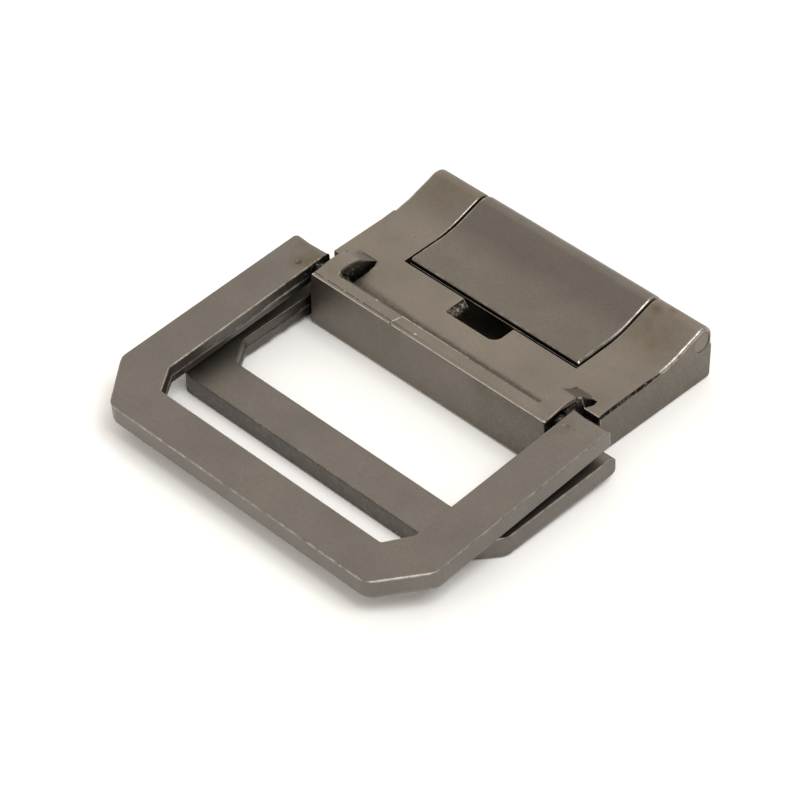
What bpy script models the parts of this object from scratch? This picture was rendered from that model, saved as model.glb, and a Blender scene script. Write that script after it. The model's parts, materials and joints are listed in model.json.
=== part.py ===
"""Double ring belt buckle with a lever clamp, modelled as an assembly of solids.

Lengths in the constants are millimetres. X runs across the strap, Y runs from the rings at the
front to the strap's end at the back, and Z is up. The pieces are worked out from the front wall of
the clamp body, and one empty then puts the middle of the whole buckle's footprint at the origin.
"""
import math

import bmesh
import bpy
from mathutils import Vector

MM = 0.001

# Driving dimensions: the strap and what it has to pass through
STRAP_WIDTH = 38.0
STRAP_THICKNESS = 3.0
STRAP_SLACK = 0.3
RING_WIDTH = 50.0
RING_THICKNESS = 2.94
RING_BAR = 5.47

# Upper ring, measured from its pivot in the plane of the ring
UPPER_REACH = 32.7
UPPER_WINDOW_HALF = STRAP_WIDTH / 2 + 0.7
UPPER_FLARE = 0.4
UPPER_DROOP = math.radians(4.35)
UPPER_PIVOT_Y = 2.4
UPPER_PIVOT_Z = 6.29
UPPER_TAIL = 1.8

# Lower ring, shorter, a little wider, and lying on the table at its front bar
LOWER_REACH = 21.5
LOWER_WIDTH = 50.8
LOWER_WINDOW_HALF = STRAP_WIDTH / 2 + 0.5
LOWER_FLARE = 0.0
LOWER_THICKNESS = 2.85
LOWER_DROOP = math.radians(2.0)
LOWER_PIVOT_Y = 2.6
LOWER_TAIL = 2.05
TABLE_CLEARANCE = 0.02

# Shapes that both rings share
CORNER_CUT = (4.76, 6.15)
INNER_CUT = (2.08, 3.2)
RING_EDGE_RADIUS = 0.3
RING_END_RADIUS = 1.1
RING_PLAN_RADIUS = 0.8
RING_DRAFT = 0.04
TRUNNION_RADIUS = 1.0
TRUNNION_END_X = 16.1
TRUNNION_SIDES = 16

# Clamp body: crossbar, plate and rear ridge
CROSSBAR_HALF = 18.75
FRONT_HEIGHT = 7.62
FRONT_CHAMFER = 0.2
BODY_FOOT = 0.35
RIM_DEPTH = 2.47
RIM_SLOPE = 0.25
PLATE_HALF = 21.4
PLATE_FRONT = 6.57
PLATE_HEIGHT = 5.86
PLATE_SLOPE = 0.022
RAMP_START = 15.5
RAMP_RADIUS = 14.7
RAMP_ANGLE = math.radians(19.8)
RIDGE_Y = 23.9
RIDGE_Z = 6.15
RIDGE_RADIUS = 1.97

# Ears that carry the rings, raised above the rim at both ends of the crossbar
EAR_WIDTH = 2.75
EAR_BLEND = 0.6
EAR_TOP = ((0.2, 7.62), (1.5, 7.86), (3.2, 8.02), (4.6, 8.02), (5.6, 7.7), (8.3, 5.9))
SOCKET_RADIUS = 1.13
SOCKET_END_X = 15.8
POCKET_LENGTH = 0.9
POCKET_FRONT = 2.55
POCKET_REAR = 7.6
POCKET_FLOOR = 4.5
RELIEF_WIDTH = 0.75
RELIEF_FRONT = 6.95
RELIEF_REAR = 8.5
RELIEF_FLOOR = 4.8
RELIEF_STEP = 0.15

# Hollow that takes the end of the strap, and the window above it for the lever
FLOOR_THICKNESS = 1.0
HOLLOW_TOP = FLOOR_THICKNESS + STRAP_THICKNESS + STRAP_SLACK
HOLLOW_FRONT = 9.2
BAY_HALF = 13.0
BAY_FRONT = 3.5
WINDOW_HALF = 14.0
WINDOW_FRONT = 10.81
FINGER_HALF = 4.0
FINGER_FRONT = 7.52
FINGER_RADIUS = 1.0

# Lever and its pin
LEVER_HALF = 13.45
LEVER_FRONT = 11.35
LEVER_PROUD_FRONT = 0.25
LEVER_PROUD_REAR = 0.08
LEVER_THICKNESS = 1.5
LEVER_LIP = 1.0
BITE_HEIGHT = 1.9
BITE_HALF_DEPTH = 0.6
BITE_TEETH = 13
BITE_TOOTH_DEPTH = 0.8
PIN_RADIUS = 1.25
PIN_END_RECESS = 0.06
BODY_PIN_HOLE = 1.32
LEVER_PIN_HOLE = 1.4
PIN_SIDES = 24

# How finely the round stretches are divided
ARC_STEPS = 10
PLAN_ARC_STEPS = 4
END_ANGLES = (0, 20, 40, 60, 75, 90)
OVERCUT = 1.0


def clear_scene():
    for obj in list(bpy.data.objects):
        bpy.data.objects.remove(obj, do_unlink=True)


def plated_zinc(name, colour, roughness):
    material = bpy.data.materials.new(name)
    material.use_nodes = True
    shader = material.node_tree.nodes["Principled BSDF"]
    shader.inputs["Base Color"].default_value = (*colour, 1.0)
    shader.inputs["Metallic"].default_value = 0.9
    shader.inputs["Roughness"].default_value = roughness
    material.diffuse_color = (*colour, 1.0)
    return material


def finish_mesh(bm, name, location=(0.0, 0.0, 0.0), frame=None):
    """Turn a closed bmesh in millimetres into an object whose origin is at location."""
    if bm.calc_volume(signed=True) < 0:
        bmesh.ops.reverse_faces(bm, faces=bm.faces)
    bmesh.ops.translate(bm, verts=bm.verts, vec=-Vector(location))
    bmesh.ops.scale(bm, verts=bm.verts, vec=(MM, MM, MM))
    mesh = bpy.data.meshes.new(name)
    bm.to_mesh(mesh)
    bm.free()
    obj = bpy.data.objects.new(name, mesh)
    bpy.context.collection.objects.link(obj)
    obj.location = Vector(location) * MM
    obj.parent = frame
    return obj


def extruded(points, direction):
    """A prism: one face through the points, extruded along the direction."""
    bm = bmesh.new()
    face = bm.faces.new([bm.verts.new(point) for point in points])
    made = bmesh.ops.extrude_face_region(bm, geom=[face], use_keep_orig=True)["geom"]
    moved = [item for item in made if isinstance(item, bmesh.types.BMVert)]
    bmesh.ops.translate(bm, verts=moved, vec=direction)
    bmesh.ops.recalc_face_normals(bm, faces=bm.faces)
    return bm


def prism_across(name, outline, low_x, high_x, frame, location=(0.0, 0.0, 0.0)):
    """A solid with one outline in Y and Z, running across the buckle from low_x to high_x."""
    points = [(low_x, y, z) for y, z in outline]
    bm = extruded(points, (high_x - low_x, 0.0, 0.0))
    return finish_mesh(bm, name, location, frame)


def prism_upright(name, outline, low_z, high_z, frame):
    """A solid with one outline in X and Y, standing from low_z to high_z."""
    points = [(x, y, low_z) for x, y in outline]
    return finish_mesh(extruded(points, (0.0, 0.0, high_z - low_z)), name, frame=frame)


def block(name, low, high, frame):
    outline = ((low[0], low[1]), (high[0], low[1]), (high[0], high[1]), (low[0], high[1]))
    return prism_upright(name, outline, low[2], high[2], frame)


def rod_across(name, y, z, radius, low_x, high_x, sides, frame):
    outline = [
        (y + radius * math.cos(2 * math.pi * k / sides), z + radius * math.sin(2 * math.pi * k / sides))
        for k in range(sides)
    ]
    return prism_across(name, outline, low_x, high_x, frame, (0.0, y, z))


def combine(target, tool, operation):
    """Add or cut a tool solid with an exact Boolean, and keep the tool out of the model."""
    step = target.modifiers.new(tool.name, "BOOLEAN")
    step.operation = operation
    step.solver = "EXACT"
    step.object = tool
    tool.hide_render = True
    tool.display_type = "WIRE"


def smooth_round_faces(obj, material):
    obj.data.materials.append(material)
    obj.data.shade_smooth()
    obj.data.set_sharp_from_angle(angle=math.radians(32))


def arc(centre, radius, start, end, steps):
    """Points on an arc from one angle to another, both ends included."""
    angles = [start + (end - start) * k / steps for k in range(steps + 1)]
    return [(centre[0] + radius * math.cos(a), centre[1] + radius * math.sin(a)) for a in angles]


def offset_outline(points, distance):
    """Move each edge of an anticlockwise outline inwards."""
    count = len(points)
    lines = []
    for index in range(count):
        start = Vector(points[index])
        along = (Vector(points[(index + 1) % count]) - start).normalized()
        inward = Vector((-along.y, along.x))
        lines.append((start + inward * distance, along))
    moved = []
    for index in range(count):
        here, step = lines[index - 1]
        there, turn = lines[index]
        cross = step.x * turn.y - step.y * turn.x
        gap = there - here
        travel = (gap.x * turn.y - gap.y * turn.x) / cross
        moved.append(here + step * travel)
    return moved


def ring_outline(half_width, flare, window_half, reach, tail):
    """Plan of a ring from its pivot line: an open frame with cut corners, anticlockwise.

    The arms' outer sides spread by the flare on their way to the front.
    """
    cut_x, cut_y = CORNER_CUT
    inner_x, inner_y = INNER_CUT
    inside = -reach + RING_BAR
    radius = RING_PLAN_RADIUS
    right_tail = arc((half_width - radius, tail - radius), radius, 0.0, math.pi / 2, PLAN_ARC_STEPS)
    left_tail = [(-x, y) for x, y in reversed(right_tail)]
    front_half = half_width + flare
    front = [(-front_half, -reach + cut_y), (-front_half + cut_x, -reach)]
    window = [(window_half, inside + inner_y), (window_half - inner_x, inside)]
    return (
        left_tail
        + front
        + [(-x, y) for x, y in reversed(front)]
        + right_tail
        + [(window_half, tail)]
        + window
        + [(-x, y) for x, y in reversed(window)]
        + [(-window_half, tail)]
    )


def ring_levels(thickness):
    """Heights of the ring's sections, with the inset of its sides and of its arm ends at each."""
    half = thickness / 2
    levels = []
    for degrees in END_ANGLES:
        angle = math.radians(degrees)
        height = half - RING_END_RADIUS * (1 - math.sin(angle))
        into_edge = max(0.0, height - (half - RING_EDGE_RADIUS))
        rounding = RING_EDGE_RADIUS - math.sqrt(max(0.0, RING_EDGE_RADIUS**2 - into_edge**2))
        end_inset = RING_END_RADIUS * (1 - math.cos(angle))
        levels.append((height, rounding + RING_DRAFT * height, end_inset))
    below = [(-height, side, end) for height, side, end in reversed(levels)]
    return below + levels


def ring(name, half_width, flare, window_half, reach, tail, thickness, droop, pivot, frame):
    """A ring with rounded edges and arm ends, and a trunnion on the inside of each arm."""
    bm = bmesh.new()
    loops = []
    for height, side_inset, end_inset in ring_levels(thickness):
        outline = ring_outline(half_width, flare, window_half, reach, tail - end_inset + side_inset)
        section = offset_outline(outline, side_inset)
        loops.append([bm.verts.new((point.x, point.y, height)) for point in section])
    for lower, upper in zip(loops, loops[1:]):
        for k in range(len(lower)):
            bm.faces.new((lower[k - 1], lower[k], upper[k], upper[k - 1]))
    bm.faces.new(list(reversed(loops[0])))
    bm.faces.new(loops[-1])
    bmesh.ops.translate(bm, verts=bm.verts, vec=(0.0, pivot[0], pivot[1]))
    obj = finish_mesh(bm, name, (0.0, pivot[0], pivot[1]), frame)
    for side in (-1, 1):
        ends = sorted((side * TRUNNION_END_X, side * (window_half + OVERCUT)))
        trunnion = rod_across(
            f"{name}_trunnion_{'left' if side < 0 else 'right'}",
            pivot[0], pivot[1], TRUNNION_RADIUS, *ends, TRUNNION_SIDES, frame,
        )
        trunnion.rotation_euler.x = droop
        combine(obj, trunnion, "UNION")
    obj.rotation_euler.x = droop
    return obj


def plate_height(y):
    return PLATE_HEIGHT + PLATE_SLOPE * (y - PLATE_FRONT)


def ramp_points(proud_start, proud_end, ridge_radius):
    """The concave rise from the flat plate to the front of the rear ridge, in Y and Z."""
    first = math.atan(PLATE_SLOPE)
    centre_y = RAMP_START - RAMP_RADIUS * math.sin(first)
    centre_z = plate_height(RAMP_START) + RAMP_RADIUS * math.cos(first)
    points = []
    for k in range(ARC_STEPS + 1):
        angle = first + (RAMP_ANGLE - first) * k / ARC_STEPS
        proud = proud_start + (proud_end - proud_start) * k / ARC_STEPS
        points.append((centre_y + RAMP_RADIUS * math.sin(angle),
                       centre_z - RAMP_RADIUS * math.cos(angle) + proud))
    top = arc((RIDGE_Y, RIDGE_Z), ridge_radius, math.pi / 2 + RAMP_ANGLE, 0.0, ARC_STEPS)
    return points + top


def body_section(front_top):
    """Side view of the body in Y and Z, with its own top over the crossbar, front wall first."""
    rear = RIDGE_Y + RIDGE_RADIUS
    wall = [(BODY_FOOT, 0.0), (0.0, BODY_FOOT), (0.0, FRONT_HEIGHT - FRONT_CHAMFER)]
    behind = [(rear, BODY_FOOT), (rear - BODY_FOOT, 0.0)]
    return wall + list(front_top) + ramp_points(0.0, 0.0, RIDGE_RADIUS) + behind


def rim_top():
    """The crossbar's top between the ears: a raised rim, a step, and the plate behind it."""
    foot = RIM_DEPTH + RIM_SLOPE
    rim = [(FRONT_CHAMFER, FRONT_HEIGHT), (RIM_DEPTH / 2, FRONT_HEIGHT), (RIM_DEPTH, FRONT_HEIGHT)]
    plate = [(y, plate_height(y)) for y in (foot, EAR_TOP[-2][0], EAR_TOP[-1][0])]
    return rim + plate


def finger_outline():
    """Plan of the notch under the lever's front edge, with rounded front corners."""
    radius = FINGER_RADIUS
    front_y = FINGER_FRONT + radius
    left = arc((-FINGER_HALF + radius, front_y), radius, math.pi, 1.5 * math.pi, PLAN_ARC_STEPS)
    right = arc((FINGER_HALF - radius, front_y), radius, 1.5 * math.pi, 2 * math.pi, PLAN_ARC_STEPS)
    behind = WINDOW_FRONT + OVERCUT
    return left + right + [(FINGER_HALF, behind), (-FINGER_HALF, behind)]


def hollow_outline():
    """Plan of the hollow: as wide as the strap behind, narrower in front of the ears' sockets."""
    half = STRAP_WIDTH / 2 + STRAP_SLACK
    behind = RIDGE_Y + RIDGE_RADIUS + OVERCUT
    right = [(BAY_HALF, BAY_FRONT), (BAY_HALF, HOLLOW_FRONT), (half, HOLLOW_FRONT), (half, behind)]
    return right + [(-x, y) for x, y in reversed(right)]


def body_casting(frame):
    """The casting before it is cut: one side view after another, joined across the buckle."""
    ear_inside = CROSSBAR_HALF - EAR_WIDTH
    stations = [
        (ear_inside - EAR_BLEND / 2, rim_top()),
        (ear_inside + EAR_BLEND / 2, EAR_TOP),
        (CROSSBAR_HALF + RELIEF_WIDTH / 4, EAR_TOP),
        (CROSSBAR_HALF + RELIEF_WIDTH / 2, rim_top()),
        (PLATE_HALF, rim_top()),
    ]
    stations = [(-x, top) for x, top in reversed(stations)] + stations
    bm = bmesh.new()
    loops = [[bm.verts.new((x, y, z)) for y, z in body_section(top)] for x, top in stations]
    for here, there in zip(loops, loops[1:]):
        for k in range(len(here)):
            bm.faces.new((here[k], here[k - 1], there[k - 1], there[k]))
    bm.faces.new(loops[0])
    bm.faces.new(list(reversed(loops[-1])))
    return finish_mesh(bm, "clamp_body", frame=frame)


def clamp_body(material, frame):
    """Crossbar, plate, ridge and ears as one casting, hollow where the strap's end goes in."""
    body = body_casting(frame)
    behind = RIDGE_Y + RIDGE_RADIUS + OVERCUT
    above = RIDGE_Z + 2 * RIDGE_RADIUS
    ear_inside = CROSSBAR_HALF - EAR_WIDTH
    cuts = [
        prism_upright("strap_hollow", hollow_outline(), FLOOR_THICKNESS, HOLLOW_TOP, frame),
        block("lever_window", (-WINDOW_HALF, WINDOW_FRONT, HOLLOW_TOP - OVERCUT),
              (WINDOW_HALF, behind, above), frame),
        prism_upright("finger_notch", finger_outline(), HOLLOW_TOP - OVERCUT, above, frame),
        rod_across("pin_hole", RIDGE_Y, RIDGE_Z, BODY_PIN_HOLE, -PLATE_HALF - OVERCUT,
                   PLATE_HALF + OVERCUT, PIN_SIDES, frame),
    ]
    for side, label in ((-1, "left"), (1, "right")):
        notch = sorted((side * CROSSBAR_HALF, side * (PLATE_HALF + OVERCUT)))
        cuts.append(block(f"arm_notch_{label}", (notch[0], -OVERCUT, -OVERCUT),
                          (notch[1], PLATE_FRONT, above), frame))
        relief = sorted((side * (CROSSBAR_HALF - RELIEF_STEP), side * (CROSSBAR_HALF + RELIEF_WIDTH)))
        cuts.append(block(f"relief_{label}", (relief[0], RELIEF_FRONT, RELIEF_FLOOR),
                          (relief[1], RELIEF_REAR, above + OVERCUT), frame))
        socket = sorted((side * SOCKET_END_X, side * (CROSSBAR_HALF + OVERCUT)))
        pivots = (("upper", UPPER_PIVOT_Y, UPPER_PIVOT_Z), ("lower", LOWER_PIVOT_Y, lower_pivot_z()))
        for level, y, z in pivots:
            cuts.append(rod_across(f"socket_{level}_{label}", y, z, SOCKET_RADIUS, *socket,
                                   TRUNNION_SIDES, frame))
        cuts.append(pocket(side, label, ear_inside, frame))
    for cut in cuts:
        combine(body, cut, "DIFFERENCE")
    smooth_round_faces(body, material)
    return body


def pocket(side, label, ear_inside, frame):
    """Wedge-shaped hollow beside an ear: deep at the ear, running out to nothing on the plate."""
    deep = side * ear_inside
    shallow = side * (ear_inside - POCKET_LENGTH)
    top = FRONT_HEIGHT + OVERCUT
    level = PLATE_HEIGHT + 0.05
    outline = [(deep, POCKET_FLOOR), (deep, top), (shallow, top), (shallow, level)]
    if side < 0:
        outline.reverse()
    points = [(x, POCKET_FRONT, z) for x, z in outline]
    bm = extruded(points, (0.0, POCKET_REAR - POCKET_FRONT, 0.0))
    return finish_mesh(bm, f"pocket_{label}", frame=frame)


def lower_pivot_z():
    """Height of the lower pivot that lets the ring's front bar lie on the table."""
    below = LOWER_THICKNESS / 2 * math.cos(LOWER_DROOP)
    return LOWER_REACH * math.sin(LOWER_DROOP) + below + TABLE_CLEARANCE


def lever_outline():
    """Side view of the lever: a thin concave flap, a round barrel behind, and a lip in front."""
    proud_radius = RIDGE_RADIUS + LEVER_PROUD_REAR
    front_top = plate_height(LEVER_FRONT) + LEVER_PROUD_FRONT
    rise = ramp_points(LEVER_PROUD_FRONT, LEVER_PROUD_REAR, proud_radius)
    barrel = arc((RIDGE_Y, RIDGE_Z), proud_radius, 0.0, -math.pi, ARC_STEPS)[1:-1]
    under = [(y, z - LEVER_THICKNESS) for y, z in reversed(rise[: ARC_STEPS + 1])]
    lip = [(LEVER_FRONT + 1.2, front_top - LEVER_THICKNESS), (LEVER_FRONT, front_top - LEVER_LIP)]
    return [(LEVER_FRONT, front_top)] + rise + barrel + under + lip


def bite_outline():
    """Front view of the lever's biting edge: a comb of pointed teeth, in X and Z."""
    half = LEVER_HALF - 1.0
    pitch = 2 * half / BITE_TEETH
    points = [(-half, RIDGE_Z - PIN_RADIUS - 0.4), (-half, BITE_HEIGHT + BITE_TOOTH_DEPTH)]
    for tooth in range(BITE_TEETH):
        left = -half + tooth * pitch
        points.append((left + pitch / 2, BITE_HEIGHT))
        points.append((left + pitch, BITE_HEIGHT + BITE_TOOTH_DEPTH))
    points.append((half, RIDGE_Z - PIN_RADIUS - 0.4))
    return points


def clamp_lever(material, frame):
    """The flap that closes over the strap's end, with its teeth below the barrel."""
    pivot = (0.0, RIDGE_Y, RIDGE_Z)
    lever = prism_across("clamp_lever", lever_outline(), -LEVER_HALF, LEVER_HALF, frame, pivot)
    teeth_points = [(x, RIDGE_Y - BITE_HALF_DEPTH, z) for x, z in bite_outline()]
    teeth = finish_mesh(extruded(teeth_points, (0.0, 2 * BITE_HALF_DEPTH, 0.0)), "bite_teeth", frame=frame)
    combine(lever, teeth, "UNION")
    hole = rod_across("lever_hole", RIDGE_Y, RIDGE_Z, LEVER_PIN_HOLE, -LEVER_HALF - OVERCUT,
                      LEVER_HALF + OVERCUT, PIN_SIDES, frame)
    combine(lever, hole, "DIFFERENCE")
    smooth_round_faces(lever, material)
    return lever


def lever_pin(material, frame):
    half = PLATE_HALF - PIN_END_RECESS
    pin = rod_across("lever_pin", RIDGE_Y, RIDGE_Z, PIN_RADIUS, -half, half, PIN_SIDES, frame)
    smooth_round_faces(pin, material)
    return pin


def extent_y(objects):
    """Lowest and highest Y of the finished pieces, modifiers and turning included."""
    bpy.context.view_layer.update()
    depsgraph = bpy.context.evaluated_depsgraph_get()
    low = []
    high = []
    for obj in objects:
        evaluated = obj.evaluated_get(depsgraph)
        values = [(evaluated.matrix_world @ vertex.co).y for vertex in evaluated.data.vertices]
        low.append(min(values))
        high.append(max(values))
    return min(low), max(high)


def build():
    clear_scene()
    frame = bpy.data.objects.new("buckle", None)
    bpy.context.collection.objects.link(frame)
    body = clamp_body(plated_zinc("body_gunmetal", (0.21, 0.19, 0.16), 0.42), frame)
    upper = ring("upper_ring", RING_WIDTH / 2, UPPER_FLARE, UPPER_WINDOW_HALF, UPPER_REACH,
                 UPPER_TAIL, RING_THICKNESS, UPPER_DROOP, (UPPER_PIVOT_Y, UPPER_PIVOT_Z), frame)
    smooth_round_faces(upper, plated_zinc("upper_ring_gunmetal", (0.19, 0.17, 0.145), 0.4))
    lower = ring("lower_ring", LOWER_WIDTH / 2, LOWER_FLARE, LOWER_WINDOW_HALF, LOWER_REACH,
                 LOWER_TAIL, LOWER_THICKNESS, LOWER_DROOP, (LOWER_PIVOT_Y, lower_pivot_z()), frame)
    smooth_round_faces(lower, plated_zinc("lower_ring_gunmetal", (0.18, 0.16, 0.14), 0.42))
    lever = clamp_lever(plated_zinc("lever_gunmetal", (0.16, 0.145, 0.125), 0.38), frame)
    pin = lever_pin(plated_zinc("pin_steel", (0.3, 0.28, 0.25), 0.35), frame)
    low, high = extent_y([body, upper, lower, lever, pin])
    frame.location.y = -(low + high) / 2


build()
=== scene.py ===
import json
import math
import random

import bmesh
import bpy
from bpy.props import FloatProperty, FloatVectorProperty, PointerProperty
from bpy.types import Operator, Panel, PropertyGroup
from mathutils import Matrix, Vector, noise


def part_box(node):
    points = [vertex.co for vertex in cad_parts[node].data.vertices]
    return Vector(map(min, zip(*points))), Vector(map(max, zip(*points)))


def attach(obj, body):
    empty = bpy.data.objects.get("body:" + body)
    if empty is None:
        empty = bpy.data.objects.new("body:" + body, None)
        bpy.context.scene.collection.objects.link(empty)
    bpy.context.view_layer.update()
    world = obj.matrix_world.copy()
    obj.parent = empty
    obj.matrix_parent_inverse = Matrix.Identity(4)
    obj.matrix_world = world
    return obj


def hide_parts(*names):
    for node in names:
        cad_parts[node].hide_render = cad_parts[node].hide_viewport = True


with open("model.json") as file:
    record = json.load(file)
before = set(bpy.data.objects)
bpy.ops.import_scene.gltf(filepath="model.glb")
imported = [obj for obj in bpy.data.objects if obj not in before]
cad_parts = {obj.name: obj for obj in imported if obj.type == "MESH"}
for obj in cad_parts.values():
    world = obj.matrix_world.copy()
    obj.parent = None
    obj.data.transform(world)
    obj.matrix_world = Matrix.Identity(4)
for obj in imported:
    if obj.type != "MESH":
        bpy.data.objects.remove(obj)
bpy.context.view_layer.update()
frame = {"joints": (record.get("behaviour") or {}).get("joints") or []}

bl_info = {
    "name": "Double Ring Belt Buckle",
    "version": (1, 0, 0),
    "blender": (4, 5, 0),
    "location": "3D View > Sidebar > Buckle",
    "description": "Models a belt buckle with two rings and a clamp, in gunmetal",
    "category": "Add Mesh",
}

MM = 0.001


def linear(code):
    """An sRGB hex colour, such as 7A7367, as three linear values."""
    values = [int(code[k:k + 2], 16) / 255 for k in (0, 2, 4)]
    return tuple(v / 12.92 if v <= 0.04045 else ((v + 0.055) / 1.055) ** 2.4 for v in values)


# Places taken from the frame, in millimetres: the front wall of the body and the three pivots
FRONT_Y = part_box("clamp_body")[0].y / MM
BODY_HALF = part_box("clamp_body")[1].x / MM
LEVER_LOW, LEVER_HIGH = (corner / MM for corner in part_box("clamp_lever"))
PIN_LOW, PIN_HIGH = (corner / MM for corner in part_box("lever_pin"))
PIVOTS = {joint["child"]: Vector(joint["pos_m"]) / MM for joint in frame["joints"]}

# Angles at which the two rings lie, and the slope at the end of the plate's concave ramp
UPPER_DROOP = math.radians(4.35)
LOWER_DROOP = math.radians(2.0)
RAMP_ANGLE = math.radians(19.8)

# Rings in millimetres: cut corners outside and in the window, and the kink in the end of each tail
CORNER_CUT = (4.76, 6.15)
WINDOW_CUT = (2.08, 3.2)
KINK_RIGHT = 21.4
KINK_LEFT = -22.7
KINK_DEPTH = 0.15

# Trunnions that the rings turn on, and the rings' draft as a share of their thickness
TRUNNION_RADIUS = 1.0
TRUNNION_END = 15.7
RING_DRAFT = 0.02

# Ridge where the halves of the ring's mould met: heights, and how far it stands out at each
PARTING_RIDGE = ((-0.12, 0.07), (0.02, 0.2), (0.16, 0.2), (0.3, 0.07))

# Rounding of the rings' edges: along the top, at the tails' ends, and at outer and inner corners
RING_TOP_EDGE = 0.18
TAIL_EDGE = 0.8
OUTER_CORNER = 1.2
INNER_CORNER = 0.3
TAIL_INNER_CORNER = 0.2

# Cross section of the body in millimetres, measured back from its front wall
RIM_DEPTH = 2.47
RIM_SLOPE = 0.25
PLATE_HEIGHT = 5.86
PLATE_SLOPE = 0.022
PLATE_FRONT = 6.57
RAMP_START = 15.5
RAMP_RADIUS = 14.7
RIDGE_RADIUS = 1.97
BODY_FOOT = 0.35
FRONT_HEIGHT = 7.62

# Ears at both ends of the crossbar: a low arch, a crest, and a flat facet behind it
CROSSBAR_HALF = 18.75
EAR_INSIDE = 16.0
EAR_TOP = 8.03
EAR_CREST = (5.6, 7.72)
EAR_REAR = 8.45
EAR_EDGE = 0.33
NOTCH_REAR = 6.42

# Scoop beside each ear, pit behind its outer end, and the holes that the rings turn in
SCOOP_CENTRE = (16.2, 4.6)
SCOOP_SIZE = (0.7, 3.9, 1.25)
PIT_FLOOR = 4.9
SOCKET_RADIUS = 1.13
SOCKET_END = 15.5

# Seam along the sides of the plate, where the casting's flash was trimmed
SEAM_END = 16.6
SEAM_WIDTH = 0.3

# Hollow for the strap, window for the lever and notch for a finger
HOLLOW_FLOOR = 1.0
HOLLOW_TOP = 4.3
HOLLOW_HALF = 19.3
HOLLOW_FRONT = 9.2
BAY_HALF = 13.0
BAY_FRONT = 3.5
WINDOW_HALF = 13.84
WINDOW_FRONT = 10.71
NOTCH_HALF = 4.0
NOTCH_FRONT = 7.52

# Lever and pin
LEVER_THICKNESS = 1.5
LEVER_HALF = 13.58
LEVER_LIP = 0.84
LEVER_HOLE = 1.4
BITE_TEETH = 13
BITE_DEPTH = 0.8
BITE_HEIGHT = 1.9
BODY_HOLE = 1.256

ARC_STEPS = 16
OVERCUT = 1.0


def length_setting(name, description, default):
    return FloatProperty(name=name, description=description, default=default, unit="LENGTH")


def colour_setting(name, description, code):
    return FloatVectorProperty(name=name, description=description, default=linear(code),
                               subtype="COLOR", size=3, min=0, max=1)


class BuckleSizes(PropertyGroup):
    """Sizes that a user would change, in metres."""

    ring_width: length_setting(
        "Ring width", "Width of the upper ring across its arms", 0.050)
    upper_reach: length_setting(
        "Upper reach", "From the hinge line to the front of the upper ring", 0.03268)
    lower_reach: length_setting(
        "Lower reach", "From the hinge line to the front of the lower ring", 0.0215)
    ring_bar: length_setting(
        "Ring bar", "Depth of the rings' front bars", 0.00547)
    ring_thickness: length_setting(
        "Ring thickness", "Thickness of the upper ring", 0.00294)
    edge_radius: length_setting(
        "Edge radius", "Rounding that polishing leaves along the cast edges", 0.0002)
    grain: length_setting(
        "Casting grain", "Width of the fine grain in the plated surface", 0.00028)


class BuckleColours(PropertyGroup):
    """Colours of the plating, of what shows through it, and of the painted shade."""

    plating: colour_setting(
        "Plating", "Gunmetal plating where it is whole", "75706A")
    body: colour_setting(
        "Body", "Slightly lighter plating on the broad top of the body", "7F786F")
    lever: colour_setting(
        "Lever", "Slightly darker plating on the polished lever", "706A64")
    worn_and_highlight: colour_setting(
        "Worn edge and highlight", "Bare metal along worn edges, also painted as highlights and glints", "C8C4BD")
    stain: colour_setting(
        "Stain", "Brown tint that the plating bath leaves near joints", "645846")
    painted_shade: colour_setting(
        "Recess", "Painted shade in recesses and on faces turned from the light", "1D1A17")
    steel: colour_setting(
        "Pin", "Plated steel of the lever's pin", "7F786F")


class BuckleStage(PropertyGroup):
    """Camera and light, set as in the photograph."""

    azimuth: FloatProperty(
        name="Azimuth", description="Camera's turn to the right of the buckle's front",
        default=math.radians(44.87), subtype="ANGLE")
    elevation: FloatProperty(
        name="Elevation", description="Camera's angle above the table",
        default=math.radians(41.913), subtype="ANGLE")
    roll: FloatProperty(
        name="Roll", description="Camera's turn about its own line of sight",
        default=math.radians(-0.388), subtype="ANGLE")
    distance: length_setting(
        "Distance", "From the camera to the point that it looks at", 0.39677)
    lens: FloatProperty(
        name="Lens", description="Focal length on a sensor 36 mm wide",
        default=153.77, unit="CAMERA")
    aim: FloatVectorProperty(
        name="Aim", description="Point that the camera looks at",
        default=(-0.0018, -0.00009, -0.00035), subtype="TRANSLATION")
    floor: colour_setting("Floor", "Pale table under the buckle", "FAFAFA")


def settings():
    scene = bpy.context.scene
    return scene.buckle_sizes, scene.buckle_colours, scene.buckle_stage


# Making and cutting meshes, all in millimetres until a piece is finished

def arc(centre, radius, start, end, steps=ARC_STEPS):
    """Points on an arc from one angle to another, both ends included."""
    angles = [start + (end - start) * k / steps for k in range(steps + 1)]
    return [(centre[0] + radius * math.cos(a), centre[1] + radius * math.sin(a)) for a in angles]


def prism(points, direction):
    """A closed bmesh: one face through the points, extruded along the direction."""
    bm = bmesh.new()
    face = bm.faces.new([bm.verts.new(point) for point in points])
    made = bmesh.ops.extrude_face_region(bm, geom=[face], use_keep_orig=True)["geom"]
    moved = [item for item in made if isinstance(item, bmesh.types.BMVert)]
    bmesh.ops.translate(bm, verts=moved, vec=direction)
    bmesh.ops.recalc_face_normals(bm, faces=bm.faces)
    return bm


def block(low, high):
    """A closed box between two corners."""
    bm = bmesh.new()
    bmesh.ops.create_cube(bm, size=1.0)
    size = Vector(high) - Vector(low)
    bmesh.ops.scale(bm, verts=bm.verts, vec=size)
    bmesh.ops.translate(bm, verts=bm.verts, vec=(Vector(high) + Vector(low)) / 2)
    return bm


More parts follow.
